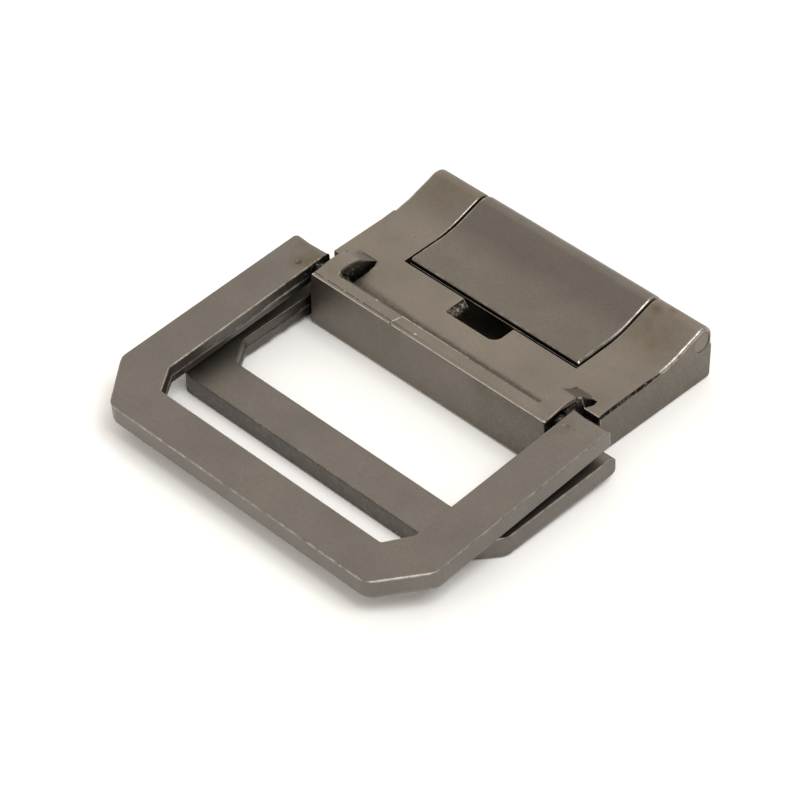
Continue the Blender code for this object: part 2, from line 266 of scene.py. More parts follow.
def rod(y, z, radius, low_x, high_x):
    """A closed round bar along X."""
    bm = bmesh.new()
    bmesh.ops.create_cone(bm, cap_ends=True, segments=48, radius1=radius, radius2=radius,
                          depth=abs(high_x - low_x))
    bmesh.ops.rotate(bm, verts=bm.verts, matrix=Matrix.Rotation(math.pi / 2, 3, "Y"))
    bmesh.ops.translate(bm, verts=bm.verts, vec=((low_x + high_x) / 2, y, z))
    return bm


def loft(sections):
    """A closed bmesh through loops of points, each bridged to the next, with capped ends."""
    bm = bmesh.new()
    loops = []
    for points in sections:
        verts = [bm.verts.new(point) for point in points]
        loops.append([bm.edges.new((verts[k - 1], verts[k])) for k in range(len(verts))])
    for here, there in zip(loops, loops[1:]):
        bmesh.ops.bridge_loops(bm, edges=here + there)
    bmesh.ops.contextual_create(bm, geom=loops[0])
    bmesh.ops.contextual_create(bm, geom=loops[-1])
    bmesh.ops.recalc_face_normals(bm, faces=bm.faces)
    return bm


def as_object(bm, name):
    mesh = bpy.data.meshes.new(name)
    bm.to_mesh(mesh)
    bm.free()
    obj = bpy.data.objects.new(name, mesh)
    bpy.context.scene.collection.objects.link(obj)
    return obj


def evaluated(obj, *helpers):
    """The object's mesh with its modifiers applied, as a bmesh. Object and helpers are removed."""
    bpy.context.view_layer.update()
    bm = bmesh.new()
    bm.from_object(obj, bpy.context.evaluated_depsgraph_get())
    for item in (obj, *helpers):
        mesh = item.data
        bpy.data.objects.remove(item, do_unlink=True)
        bpy.data.meshes.remove(mesh)
    return bm


def combine(bm, tools, operation):
    """Join solids to the mesh or cut them from it, with exact Booleans."""
    target = as_object(bm, "stock")
    helpers = [as_object(tool, "tool") for tool in tools]
    for helper in helpers:
        step = target.modifiers.new("step", "BOOLEAN")
        step.operation = operation
        step.solver = "EXACT"
        step.object = helper
    result = evaluated(target, *helpers)
    bmesh.ops.remove_doubles(result, verts=result.verts, dist=0.002)
    bmesh.ops.dissolve_degenerate(result, edges=result.edges, dist=0.001)
    return result


def round_edges(bm, radius_of, segments=3):
    """Bevel each edge by the radius, in millimetres, that radius_of gives for it."""
    widest = 0.0
    radii = {}
    for edge in bm.edges:
        if len(edge.link_faces) == 2:
            radii[edge.index] = radius_of(edge)
            widest = max(widest, radii[edge.index])
    layer = bm.edges.layers.float.new("bevel_weight_edge")
    for edge in bm.edges:
        edge[layer] = radii.get(edge.index, 0.0) / widest
    obj = as_object(bm, "stock")
    step = obj.modifiers.new("rounding", "BEVEL")
    step.limit_method = "WEIGHT"
    step.width = widest
    step.segments = segments
    step.use_clamp_overlap = False
    step.miter_outer = "MITER_SHARP"
    return evaluated(obj)


def roughen(bm, amount, size):
    """Move a cutter's points a little, so that it leaves a rough cast surface."""
    noise.seed_set(5)
    for vert in bm.verts:
        vert.co += noise.noise_vector(vert.co / size) * amount


def nick(place, radius):
    """Cutter for a small knock in an edge."""
    bm = bmesh.new()
    bmesh.ops.create_icosphere(bm, subdivisions=2, radius=radius)
    roughen(bm, 0.3 * radius, 0.5 * radius)
    bmesh.ops.translate(bm, verts=bm.verts, vec=place)
    return bm


def dimple(place, wide, deep):
    """Cutter for a shallow round dimple in a top face, given its radius and its depth."""
    bm = bmesh.new()
    radius = (wide ** 2 + deep ** 2) / (2 * deep)
    bmesh.ops.create_uvsphere(bm, u_segments=64, v_segments=64, radius=radius)
    bmesh.ops.translate(bm, verts=bm.verts, vec=Vector(place) + Vector((0, 0, radius - deep)))
    return bm


def bend_of(face):
    """How tightly the surface turns at a face, in radians per millimetre, above 0 on outer edges."""
    strongest = 0.0
    for edge in face.edges:
        if len(edge.link_faces) != 2:
            continue
        angle = edge.calc_face_angle_signed(0.0)
        width = face.calc_area() / max(edge.calc_length(), 1e-6)
        bend = angle / max(width, 0.02)
        if abs(bend) > abs(strongest):
            strongest = bend
    return strongest


def finish(bm, name, body, material, place, painted_shade_of, wear_and_highlight_of=None):
    """Turn a closed bmesh in millimetres into a finished piece that replaces its CAD node.

    Each face carries how tightly it bends, its share of painted shade, and how much it is worn and
    painted with a highlight.
    """
    bmesh.ops.remove_doubles(bm, verts=bm.verts, dist=0.0005)
    bmesh.ops.dissolve_degenerate(bm, edges=bm.edges, dist=0.0005)
    if bm.calc_volume(signed=True) < 0:
        bmesh.ops.reverse_faces(bm, faces=bm.faces)
    bm.normal_update()
    layers = {key: bm.faces.layers.float.new(key) for key in ("bend", "painted_shade", "wear_and_highlight")}
    for face in bm.faces:
        face[layers["bend"]] = bend_of(face)
        # Painted shade of each face, then its wear with painted highlights
        face[layers["painted_shade"]] = painted_shade_of(face.calc_center_median(), face.normal)
        face[layers["wear_and_highlight"]] = wear_and_highlight_of(face.calc_center_median(), face.normal) if wear_and_highlight_of else 0.3
        face.smooth = True
    bmesh.ops.transform(bm, matrix=place, verts=bm.verts)
    bmesh.ops.transform(bm, matrix=Matrix.Scale(MM, 4), verts=bm.verts)
    obj = as_object(bm, f"{name}_finished")
    obj.data.set_sharp_from_angle(angle=math.radians(42))
    obj.data.materials.append(material)
    shading = obj.modifiers.new("flat faces stay flat", "WEIGHTED_NORMAL")
    shading.keep_sharp = True
    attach(obj, body)
    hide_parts(name)


# Materials

# Noise of the plating: width in millimetres, or 0 for the grain's, detail, roughness and offset
NOISES = {
    "tone": (7.0, 3.0, 0.5, 0.0),
    "speckle": (0.0, 1.0, 0.5, 0.1),
    "spot": (1.4, 3.0, 0.5, 0.3),
    "scratch": (0.7, 3.0, 0.6, 0.6),
    "shade breakup": (0.5, 3.0, 0.6, 0.2),
    "glint": (0.38, 2.0, 0.6, 0.9),
    "patch": (1.1, 5.0, 0.7, 0.7),
    "gloss": (3.0, 3.0, 0.5, 0.5),
    "fine": (0.0, 2.0, 0.6, 0.0),
    "coarse": (1.1, 2.0, 0.5, 0.4),
}

# Ranges read from them: name, what it reads, its start and end, and the values at both
RANGES = (
    ("cloudy", "tone", 0.3, 0.7, 0.0, 1.0),
    ("speckled", "speckle", 0.4, 0.65, 0.0, 0.3),
    ("ragged", "spot", 0.3, 0.7, 0.4, 1.0),
    ("broken", "scratch", 0.38, 0.52, 0.25, 1.0),
    ("hole", "holes", 0.028, 0.015, 0.0, 1.0),
    # From here on: painted shade in inner corners and where faces carry it, painted glints in its
    # deepest parts, and worn outer edges with painted highlights
    ("shaded inner corner", "bend", -0.6, -2.5, 0.0, 1.0),
    ("uneven painted shade", "shade breakup", 0.36, 0.5, 0.6, 1.0),
    # Painted glints: bright specks of the pale colour inside the deepest painted shade
    ("painted glints", "glint", 0.60, 0.68, 0.0, 1.0),
    ("deep painted shade", "painted_shade", 0.62, 0.66, 0.0, 1.0),
    ("glints thinning", "painted_shade", 0.9, 1.0, 0.7, 0.2),
    ("outer edge", "bend", 1.2, 2.4, 0.0, 1.0),
    ("broken wear and highlight", "patchy wear and highlight", 0.52, 0.80, 0.0, 1.0),
    ("wear and highlight strength", "wear_and_highlight", 0.1, 0.9, 0.25, 0.85),
)

# Distance between the pin holes, in millimetres
HOLE_SPACING = 4.6


def add(tree, kind, links=None, take=0, **values):
    """Add a node, set its properties, link or set its inputs, and give back one of its outputs."""
    node = tree.nodes.new(kind)
    for key, value in values.items():
        setattr(node, key, value)
    for key, source in (links or {}).items():
        if isinstance(source, bpy.types.NodeSocket):
            tree.links.new(source, node.inputs[key])
        else:
            node.inputs[key].default_value = source
    return node.outputs[take] if node.outputs else None


def plated(name, colour, roughness, spots=(), scratches=()):
    """Gunmetal plating on die-cast metal, satin brushed: a warm dark grey with a soft sheen.

    The eye sees slow cloudy changes of tone, a fine grain, pin holes, bright edges that break up,
    partly worn bare and partly a painted highlight, painted shade in the corners and recesses with
    painted glints in it, and brown tints where the plating bath was trapped. Spots are those tints,
    as x, y, z, radius and strength, and scratches are lines of bare metal, as start, end, width and
    strength, all in the scene's millimetres.
    """
    sizes, colours, _ = settings()
    material = bpy.data.materials.new(name)
    material.use_nodes = True
    tree = material.node_tree
    tree.nodes.clear()
    where = add(tree, "ShaderNodeTexCoord", take="Object")
    value = {key: add(tree, "ShaderNodeAttribute", take="Fac", attribute_name=key)
             for key in ("bend", "painted_shade", "wear_and_highlight")}
    for key, (width, detail, rough, offset) in NOISES.items():
        moved = add(tree, "ShaderNodeMapping", {"Vector": where, "Location": (offset, offset, 0)})
        value[key] = add(tree, "ShaderNodeTexNoise", {
            "Vector": moved, "Scale": 1 / (width * MM or sizes.grain), "Detail": detail,
            "Roughness": rough})
    value["holes"] = add(tree, "ShaderNodeTexVoronoi", {
        "Vector": where, "Scale": 1 / (HOLE_SPACING * MM)}, take="Distance")
    value["patchy wear and highlight"] = add(tree, "ShaderNodeMath", {0: value["wear_and_highlight"], 1: 0.4, 2: value["patch"]},
                        operation="MULTIPLY_ADD")
    for key, source, low, high, to_low, to_high in RANGES:
        value[key] = add(tree, "ShaderNodeMapRange", {
            0: value[source], 1: low, 2: high, 3: to_low, 4: to_high})
    # Outer edges that are worn bare and painted with a highlight
    worn_highlight = add(tree, "ShaderNodeMath", {0: value["outer edge"], 1: value["broken wear and highlight"]},
                 operation="MULTIPLY")

    # Layers of colour over the plating's darker tone: factors that are multiplied, and the colour
    layers = [([value["cloudy"]], [min(1.0, c * 1.07) for c in colour]),
              ([value["speckled"]], [c * 0.72 for c in colour])]
    for x, y, z, radius, strength in spots:
        reach = add(tree, "ShaderNodeVectorMath", {0: where, 1: (x * MM, y * MM, z * MM)},
                    take="Value", operation="DISTANCE")
        spot = add(tree, "ShaderNodeMapRange", {
            0: reach, 1: radius * MM, 2: 0.2 * radius * MM, 3: 0.0, 4: strength})
        layers.append(([spot, value["ragged"]], colours.stain))
    for start, end, width, strength in scratches:
        span = Vector(end) - Vector(start)
        length = span.length * MM
        offset = add(tree, "ShaderNodeVectorMath", {0: where, 1: Vector(start) * MM},
                     operation="SUBTRACT")
        along = add(tree, "ShaderNodeVectorMath", {0: offset, 1: span.normalized()},
                    take="Value", operation="DOT_PRODUCT")
        held = add(tree, "ShaderNodeMapRange", {0: along, 1: 0.0, 2: length, 3: 0.0, 4: length})
        nearest = add(tree, "ShaderNodeVectorMath", {0: span.normalized(), "Scale": held},
                      operation="SCALE")
        away = add(tree, "ShaderNodeVectorMath", {0: offset, 1: nearest},
                   take="Value", operation="DISTANCE")
        line = add(tree, "ShaderNodeMapRange", {
            0: away, 1: width * MM, 2: 0.4 * width * MM, 3: 0.0, 4: strength})
        layers.append(([line, value["broken"]], colours.worn_and_highlight))
    # Painted shade in the pin holes, in inner corners and where faces carry it, painted glints in the
    # deepest shade, and bare metal on worn edges, partly a painted highlight
    layers += [([value["hole"], 0.55], colours.painted_shade),
               ([value["shaded inner corner"], 0.6], colours.painted_shade),
               ([value["painted_shade"], value["uneven painted shade"]], colours.painted_shade),
               ([value["painted glints"], value["deep painted shade"], value["glints thinning"]], colours.worn_and_highlight),
               ([worn_highlight, value["wear and highlight strength"]], colours.worn_and_highlight)]
    base = (*(c * 0.92 for c in colour), 1)
    for factors, tint in layers:
        share = factors[0]
        for factor in factors[1:]:
            share = add(tree, "ShaderNodeMath", {0: share, 1: factor}, operation="MULTIPLY")
        base = add(tree, "ShaderNodeMix", {0: share, 6: base, 7: (*tint, 1)}, take=2,
                   data_type="RGBA")

    # Patches of slightly duller and shinier plating, and a smoother surface where it is rubbed
    gloss = add(tree, "ShaderNodeMapRange", {
        0: value["gloss"], 1: 0.3, 2: 0.7, 3: roughness - 0.04, 4: roughness + 0.05})
    gloss = add(tree, "ShaderNodeMath", {0: worn_highlight, 1: -0.1, 2: gloss}, operation="MULTIPLY_ADD")

    # Relief: the fine grain, slow waves of the casting, and the pin holes
    bump = add(tree, "ShaderNodeBump", {
        "Height": value["fine"], "Strength": 0.10, "Distance": 0.02 * MM})
    bump = add(tree, "ShaderNodeBump", {
        "Height": value["coarse"], "Strength": 0.16, "Distance": 0.06 * MM, "Normal": bump})
    bump = add(tree, "ShaderNodeBump", {
        "Height": value["hole"], "Strength": 0.5, "Distance": 0.05 * MM, "Normal": bump},
        invert=True)
    shader = add(tree, "ShaderNodeBsdfPrincipled", {
        "Base Color": base, "Roughness": gloss, "Metallic": 1.0, "Normal": bump})
    add(tree, "ShaderNodeOutputMaterial", {"Surface": shader})
    return material


# The rings

def ring_plan(half, flare, window, reach, bar, tail, flash=0.0):
    """Plan of a ring from its hinge line: an open frame with cut corners, anticlockwise.

    The flash left on the inner side of the left arm is uneven by the given amount. Tail is how far
    the arms pass the hinge line, and flare is how much wider the ring is in front.
    """
    front = half + flare
    inside = -reach + bar
    right = [(front - CORNER_CUT[0], -reach), (front, -reach + CORNER_CUT[1]), (half, tail),
             (KINK_RIGHT, tail - KINK_DEPTH), (window, tail), (window, inside + WINDOW_CUT[1]),
             (window - WINDOW_CUT[0], inside)]
    left = [(-x, y) for x, y in reversed(right)]
    left[3] = (KINK_LEFT, tail - KINK_DEPTH)
    wander = random.Random(3)
    steps = 18
    run = tail - inside - WINDOW_CUT[1]
    rough = [(-window + wander.uniform(-0.3, 1.0) * flash, inside + WINDOW_CUT[1] + run * k / steps)
             for k in range(1, steps)]
    return right + left[:2] + rough + left[2:]


def ring_solid(half, flare, window, reach, bar, thickness, tail, tail_corner, tail_foot, foot, flash):
    """A ring, flat about its hinge line: narrower at the top, trunnions joined, edges rounded.

    Foot is the rounding of its lower edges, tail_foot that of the lower edges at the tails' ends,
    and tail_corner that of the right tail's outer corner.
    """
    low = -thickness / 2
    draft = RING_DRAFT * thickness
    inside = -reach + bar
    under = ring_plan(half, flare, window, reach, bar, tail, flash)
    over = ring_plan(half - draft, flare, window, reach - draft, bar - draft, tail)
    plans = [(under, low)]
    for z, ridge in PARTING_RIDGE:
        plans.append((ring_plan(half - draft / 2, flare, window - ridge, reach - draft / 2,
                                bar - draft / 2 + ridge / 2, tail, ridge / 3), z))
    plans.append((over, -low))
    bm = loft([[(x, y, z) for x, y in plan] for plan, z in plans])
    trunnions = [rod(0, 0, TRUNNION_RADIUS, side * TRUNNION_END, side * (window + OVERCUT))
                 for side in (-1, 1)]
    bm = combine(bm, trunnions, "UNION")
    top = thickness / 2 - 0.01

    def radius_of(edge):
        ends = [v.co for v in edge.verts]
        if edge.calc_face_angle(0.0) < math.radians(20):
            return 0.0
        if max(abs(co.x) for co in ends) < window - 0.01 and min(co.y for co in ends) > -3:
            return 0.0
        high = all(co.z > top for co in ends)
        deep = all(co.z < -top for co in ends)
        if (high or deep) and all(co.y > tail - 0.2 for co in ends):
            return TAIL_EDGE if high else tail_foot
        if high:
            return RING_TOP_EDGE
        if deep:
            return foot
        if abs(ends[0].x - ends[1].x) < 0.3 and abs(ends[0].y - ends[1].y) < 0.3:
            if ends[0].y > tail - 0.2:
                outer = TAIL_EDGE if ends[0].x < 0 else tail_corner
                return outer if abs(ends[0].x) > window + 0.5 else TAIL_INNER_CORNER
            outside = ends[0].y < inside - 0.5 or abs(ends[0].x) > window + 2
            return OUTER_CORNER if outside else INNER_CORNER
        return 0.0

    return round_edges(bm, radius_of, segments=4)


# Painted shade, and wear with painted highlights, are given in a ring's own millimetres, before it is
# laid at its droop

def ring_painted_shade(centre, normal):
    """Painted shade on a ring: at the tails' inner ends and on the arms' inner sides beside the ears,
    darkest at the hinge.
    """
    near = smooth(-9.0, -1.0, centre.y)
    if abs(centre.x) < 19.3 and centre.y > -2.0:
        return 0.75
    if abs(centre.x) < 20.2 and abs(normal.x) > 0.5:
        return 0.25 + 0.45 * near
    if abs(centre.x) < 20.0 and centre.y > -12.0 and 0.2 < abs(normal.x):
        return 0.5 * near
    return 0.0


def lower_ring_painted_shade(centre, normal):
    """The same painted shade on the lower ring, which also gets painted shade along its front."""
    return max(ring_painted_shade(centre, normal), 0.46 if normal.y < -0.7 else 0.0)


def ring_wear_and_highlight(centre, normal):
    """Worn edges of the upper ring, partly painted highlights: most at its front corners, and none at
    the hinge.
    """
    left_inside = -20.2 < centre.x < -17.0
    if centre.y > -4.0:
        return 0.35 if abs(centre.x) > 24.0 or left_inside and centre.z > 1.2 else 0.0
    if centre.x > 24.0 and -27.5 < centre.y < -25.8 and normal.z > 0.2:
        return 1.0
    if centre.x > 19.5 and centre.y < -26.0:
        return 0.62
    if left_inside and -27.0 < centre.y < -6.0:
        return 0.45 if centre.z > 1.2 else 0.2
    return 0.4 if normal.y < -0.3 and normal.z > 0.2 else 0.2


def lower_ring_wear_and_highlight(centre, normal):
    """The lower ring is worn and painted with highlights only where it sticks out at its right-hand
    corner.
    """
    if centre.x > 24.0 and normal.z > 0.2:
        return 0.45
    return 0.55 if centre.x > 19.0 and centre.y < -13.0 and normal.z > 0.2 else 0.05


def lay(pivot, droop):
    """Place a ring: turned by its droop about the hinge line, and moved to it."""
    return Matrix.Translation(pivot) @ Matrix.Rotation(droop, 4, "X")


class BUCKLE_OT_upper_ring(Operator):
    """Model the upper ring, the longer of the two"""

    bl_idname = "buckle.upper_ring"
    bl_label = "Upper Ring"

    def execute(self, context):
        sizes, colours, _ = settings()
        half = sizes.ring_width / MM / 2 + 0.08
        bm = ring_solid(half=half, flare=0.3, window=19.7, reach=sizes.upper_reach / MM,
                        bar=sizes.ring_bar / MM, thickness=sizes.ring_thickness / MM, tail=1.85,
                        tail_corner=0.35, tail_foot=TAIL_EDGE, foot=0.75, flash=0.04)
        top = sizes.ring_thickness / MM / 2
        knocks = [nick((25.0, -26.85, -1.4), 0.5), dimple((-21.24, -1.84, top), 0.42, 0.13),
                  dimple((20.95, -1.27, top), 0.6, 0.12)]
        bm = combine(bm, knocks, "DIFFERENCE")
        spots = ((-20.2, 4.0, 7.9, 1.9, 0.9), (-21.3, 2.6, 7.9, 1.7, 0.7),
                 (-23.0, 5.2, 7.8, 1.2, 0.3), (20.6, 3.3, 7.9, 1.8, 0.4),
                 (19.9, 1.2, 7.6, 1.4, 0.35), (21.9, 3.6, 7.75, 0.22, 1.0))
        material = plated("satin gunmetal plating, upper ring", colours.plating, 0.40, spots)
        finish(bm, "upper_ring", "upper_ring", material,
               lay(PIVOTS["upper_ring"], UPPER_DROOP), ring_painted_shade, ring_wear_and_highlight)
        return {"FINISHED"}


class BUCKLE_OT_lower_ring(Operator):
    """Model the lower ring, which lies on the table at its front bar"""

    bl_idname = "buckle.lower_ring"
    bl_label = "Lower Ring"

    def execute(self, context):
        sizes, colours, _ = settings()
        half = sizes.ring_width / MM / 2 + 0.38
        bm = ring_solid(half=half, flare=0.0, window=19.5, reach=sizes.lower_reach / MM,
                        bar=sizes.ring_bar / MM, thickness=sizes.ring_thickness / MM - 0.09,
                        tail=2.18, tail_corner=0.0, tail_foot=1.3, foot=0.3, flash=0.16)
        knocks = [nick((25.35, y, -1.47), radius)
                  for y, radius in ((-14.2, 0.42), (-13.4, 0.36), (-11.9, 0.44))]
        bm = combine(bm, knocks, "DIFFERENCE")
        material = plated("satin gunmetal plating, lower ring", colours.plating, 0.42)
        finish(bm, "lower_ring", "lower_ring", material,
               lay(PIVOTS["lower_ring"], LOWER_DROOP), lower_ring_painted_shade, lower_ring_wear_and_highlight)
        return {"FINISHED"}


# The clamp body

def plate_height(y):
    return PLATE_HEIGHT + PLATE_SLOPE * (y - PLATE_FRONT)


RIDGE = (PIVOTS["lever"].y - FRONT_Y, PIVOTS["lever"].z)


def ramp_points(proud_start, proud_end, ridge_radius):
    """The concave rise from the flat plate to the front of the rear ridge, in Y and Z."""
    first = math.atan(PLATE_SLOPE)
    centre_y = RAMP_START - RAMP_RADIUS * math.sin(first)
    centre_z = plate_height(RAMP_START) + RAMP_RADIUS * math.cos(first)
    points = []
    for k in range(ARC_STEPS + 1):
        angle = first + (RAMP_ANGLE - first) * k / ARC_STEPS
        proud = proud_start + (proud_end - proud_start) * k / ARC_STEPS
        points.append((centre_y + RAMP_RADIUS * math.sin(angle),
                       centre_z - RAMP_RADIUS * math.cos(angle) + proud))
    return points, arc(RIDGE, ridge_radius, math.pi / 2 + RAMP_ANGLE, 0.0)


def smooth(low, high, value):
    """0 below low, 1 above high, and an even curve between them."""
    t = min(1.0, max(0.0, (value - low) / (high - low)))
    return t * t * (3 - 2 * t)


def rim_height(y):
    """Height of the crossbar's top between the ears: the raised rim, a step, and the plate."""
    bevel = 0.22 * min(1.0, max(0.0, (y - 2.0) / 0.45))
    drop = smooth(RIM_DEPTH - 0.06, RIM_DEPTH + RIM_SLOPE + 0.1, y)
    return FRONT_HEIGHT - bevel + (plate_height(y) - FRONT_HEIGHT + bevel) * drop


def ear_height(y):
    """Height of an ear's top: a low arch, a crest, and a flat facet down to the plate."""
    crest_y, crest_z = EAR_CREST
    if y < 3.8:
        return FRONT_HEIGHT + (EAR_TOP - FRONT_HEIGHT) * smooth(0.3, 3.6, y)
    if y < crest_y:
        return EAR_TOP - (EAR_TOP - crest_z) * ((y - 3.8) / (crest_y - 3.8)) ** 2
    share = min(1.0, (y - crest_y) / (EAR_REAR - crest_y))
    return crest_z + (plate_height(EAR_REAR) - crest_z) * share


def casting_height(x, y):
    """Height of the crossbar's top: the ears grow out of the rim, and stand clear behind it."""
    behind = smooth(1.4, 2.15, y)
    low = EAR_INSIDE - 2.0 + 1.75 * behind
    high = EAR_INSIDE + 1.5 - 1.2 * behind
    ear = smooth(low, high, abs(x))
    ear *= 1 - smooth(18.4, 19.0, abs(x)) * smooth(5.7, 6.3, y)
    dish = 0.12 * smooth(11.5, 15.0, abs(x)) * smooth(2.6, 3.4, y) * (1 - smooth(4.5, 8.5, y))
    return rim_height(y) + (ear_height(y) - rim_height(y)) * ear - dish * (1 - ear)


def casting_rows():
    """Places along Y at which the casting's top is formed: close together where it turns."""
    rows = [0.28, 0.42, 0.6, 0.8, 1.2, 1.6, 1.9, 2.0, 2.08, 2.2, 2.32]
    rows += [RIM_DEPTH - 0.06 + 0.059 * k for k in range(8)]
    rows += [2.95, 3.1, 3.3, 3.55]
    rows += [3.8 + (EAR_CREST[0] - 3.8) * k / 8 for k in range(9)]
    rows += [EAR_CREST[0] + (EAR_REAR - EAR_CREST[0]) * k / 12 for k in range(1, 13)]
    return rows + [EAR_REAR + 0.15, EAR_REAR + 0.6]


def casting_section(x):
    """Side view of the uncut casting at x: an outline in Y and Z, front wall first."""
    radius = 0.1
    corner = arc((radius, -radius), radius, math.pi, math.pi / 2, 4)
    front = [(y, z + casting_height(x, radius)) for y, z in corner]
    top = [(y, casting_height(x, y)) for y in casting_rows()]
    flat = [(y, plate_height(y)) for y in (11.0, 13.5)]
    rise_points, ridge = ramp_points(0.0, 0.0, RIDGE_RADIUS)
    tight = [1 - 0.12 * smooth(0.0, 1.0, (k - 8) / (len(ridge) - 9)) for k in range(len(ridge))]
    ridge = [(RIDGE[0] + (y - RIDGE[0]) * t, z) for (y, z), t in zip(ridge, tight)]
    rear = RIDGE[0] + RIDGE_RADIUS
    under = [(ridge[-1][0], 5.3), (rear, 4.95), (rear, BODY_FOOT), (rear - BODY_FOOT, 0.0),
             (BODY_FOOT, 0.0), (0.0, BODY_FOOT)]
    return front + top + flat + rise_points + ridge + under


def casting():
    """The body before it is cut, lofted across the buckle."""
    wall = {round(EAR_INSIDE - 0.3 + 0.075 * k, 3) for k in range(9)}
    slope = {round(0.5 + 1.1 * k, 3) for k in range(10)}
    slope |= {round(11.5 + 0.5 * k, 3) for k in range(8)}
    slope |= {round(15.2 + 0.25 * k, 3) for k in range(12)}
    end = {18.1, 18.38, 18.95, 19.15, BODY_HALF}
    stations = sorted(wall | slope | end)
    stations = [x for k, x in enumerate(stations) if k == 0 or x - stations[k - 1] > 0.03]
    stations = [-x for x in reversed(stations)] + stations
    return loft([[(x, y, z) for y, z in casting_section(x)] for x in stations])


def notch_cutter():
    """Cutter for the finger notch: its left wall is rough and leans, its right corner is wide."""
    sections = []
    wander = random.Random(5)
    for z in (HOLLOW_TOP - OVERCUT, 4.85, 5.0, 5.15, 5.3, 5.45, 5.6, 5.75, 5.9, 12.0):
        lean = 0.72 * (1 - smooth(4.8, 6.05, z))
        uneven = 0.07 if 4.8 < z < 5.85 else 0.0
        plan = [(-NOTCH_HALF + lean + wander.uniform(-uneven, uneven),
                 WINDOW_FRONT + 1 - 0.22 * k, z) for k in range(18)]
        plan += [(x + lean, y, z) for x, y in arc((-NOTCH_HALF + 0.35, NOTCH_FRONT + 0.35), 0.35,
                                                  math.pi, 1.5 * math.pi, 6)]
        plan += [(x, y, z) for x, y in arc((NOTCH_HALF - 1.25, NOTCH_FRONT + 1.25), 1.25,
                                           1.5 * math.pi, 2 * math.pi, 12)]
        sections.append(plan + [(NOTCH_HALF, WINDOW_FRONT + 1, z)])
    return loft(sections)


def hollow_plan():
    behind = RIDGE[0] + RIDGE_RADIUS + OVERCUT
    right = [(BAY_HALF, BAY_FRONT), (BAY_HALF, HOLLOW_FRONT), (HOLLOW_HALF, HOLLOW_FRONT),
             (HOLLOW_HALF, behind)]
    return right + [(-x, y) for x, y in reversed(right)]


def upright(plan, low, high):
    return prism([(x, y, low) for x, y in plan], (0, 0, high - low))


def scoop(side):
    """Cutter for the almond hollow beside an ear: half of a stretched ball, flat at the ear."""
    bm = bmesh.new()
    bmesh.ops.create_uvsphere(bm, u_segments=48, v_segments=32, radius=1.0)
    bmesh.ops.scale(bm, verts=bm.verts, vec=SCOOP_SIZE)
    roughen(bm, 0.08, 0.28)
    middle = Vector((side * SCOOP_CENTRE[0], SCOOP_CENTRE[1], PLATE_HEIGHT))
    bmesh.ops.translate(bm, verts=bm.verts, vec=middle)
    cut = bmesh.ops.bisect_plane(
        bm, geom=[*bm.verts, *bm.edges, *bm.faces], dist=0.0001, clear_outer=True,
        plane_co=(side * (EAR_INSIDE + 0.25), 0, 0), plane_no=(side, 0, 0))["geom_cut"]
    bmesh.ops.holes_fill(bm, edges=[item for item in cut if isinstance(item, bmesh.types.BMEdge)])
    bmesh.ops.recalc_face_normals(bm, faces=bm.faces)
    return bm


def pit():
    """Cutter for the rough pit behind the right ear's outer end; the left one has none."""
    plan = [(18.3, 6.62), (18.72, 8.2), (19.25, 8.27), (19.46, 7.75), (19.2, 7.05), (18.98, 6.62)]
    bm = prism([(x, y, PIT_FLOOR) for x, y in plan], (0, 0, 4))
    bmesh.ops.subdivide_edges(bm, edges=bm.edges, cuts=5, use_grid_fill=True)
    roughen(bm, 0.09, 0.25)
    bmesh.ops.triangulate(bm, faces=bm.faces)
    return bm


def seam(side):
    """Cutter for the bevel that trimming left along the side of the plate."""
    sections = []
    lift = RAMP_RADIUS - math.sqrt(RAMP_RADIUS ** 2 - (SEAM_END - RAMP_START) ** 2)
    depth = SEAM_WIDTH if side > 0 else 0.5 * SEAM_WIDTH
    for y, width, rise in ((NOTCH_REAR - 1.0, depth, 0.0), (RAMP_START - 1.0, 0.9 * depth, 0.0),
                           (SEAM_END, depth / 3, lift)):
        z = plate_height(y) + rise
        sections.append([(side * (BODY_HALF - width - 0.3), y, z + 0.3),
                         (side * (BODY_HALF + 0.3), y, z - width - 0.3),
                         (side * (BODY_HALF + 1.0), y, z + 1.0)])
    return loft(sections)


def body_cuts():
    behind = RIDGE[0] + RIDGE_RADIUS + OVERCUT
    above = 12.0
    cuts = [
        upright(hollow_plan(), HOLLOW_FLOOR, HOLLOW_TOP),
        block((-WINDOW_HALF, WINDOW_FRONT, HOLLOW_TOP - OVERCUT), (WINDOW_HALF, behind, above)),
        notch_cutter(),
        rod(*RIDGE, BODY_HOLE, -BODY_HALF - OVERCUT, BODY_HALF + OVERCUT),
    ]
    for side in (-1, 1):
        notch = sorted((side * CROSSBAR_HALF, side * (BODY_HALF + OVERCUT)))
        cuts.append(block((notch[0], -OVERCUT, -OVERCUT), (notch[1], NOTCH_REAR, above)))
        socket = sorted((side * SOCKET_END, side * (CROSSBAR_HALF + OVERCUT)))
        for ring in ("upper_ring", "lower_ring"):
            pivot = PIVOTS[ring]
            cuts.append(rod(pivot.y - FRONT_Y, pivot.z, SOCKET_RADIUS, *socket))
        cuts += [scoop(side), seam(side)]
    return cuts + [pit(), nick((-5.6, -0.06, FRONT_HEIGHT + 0.02), 0.24)]


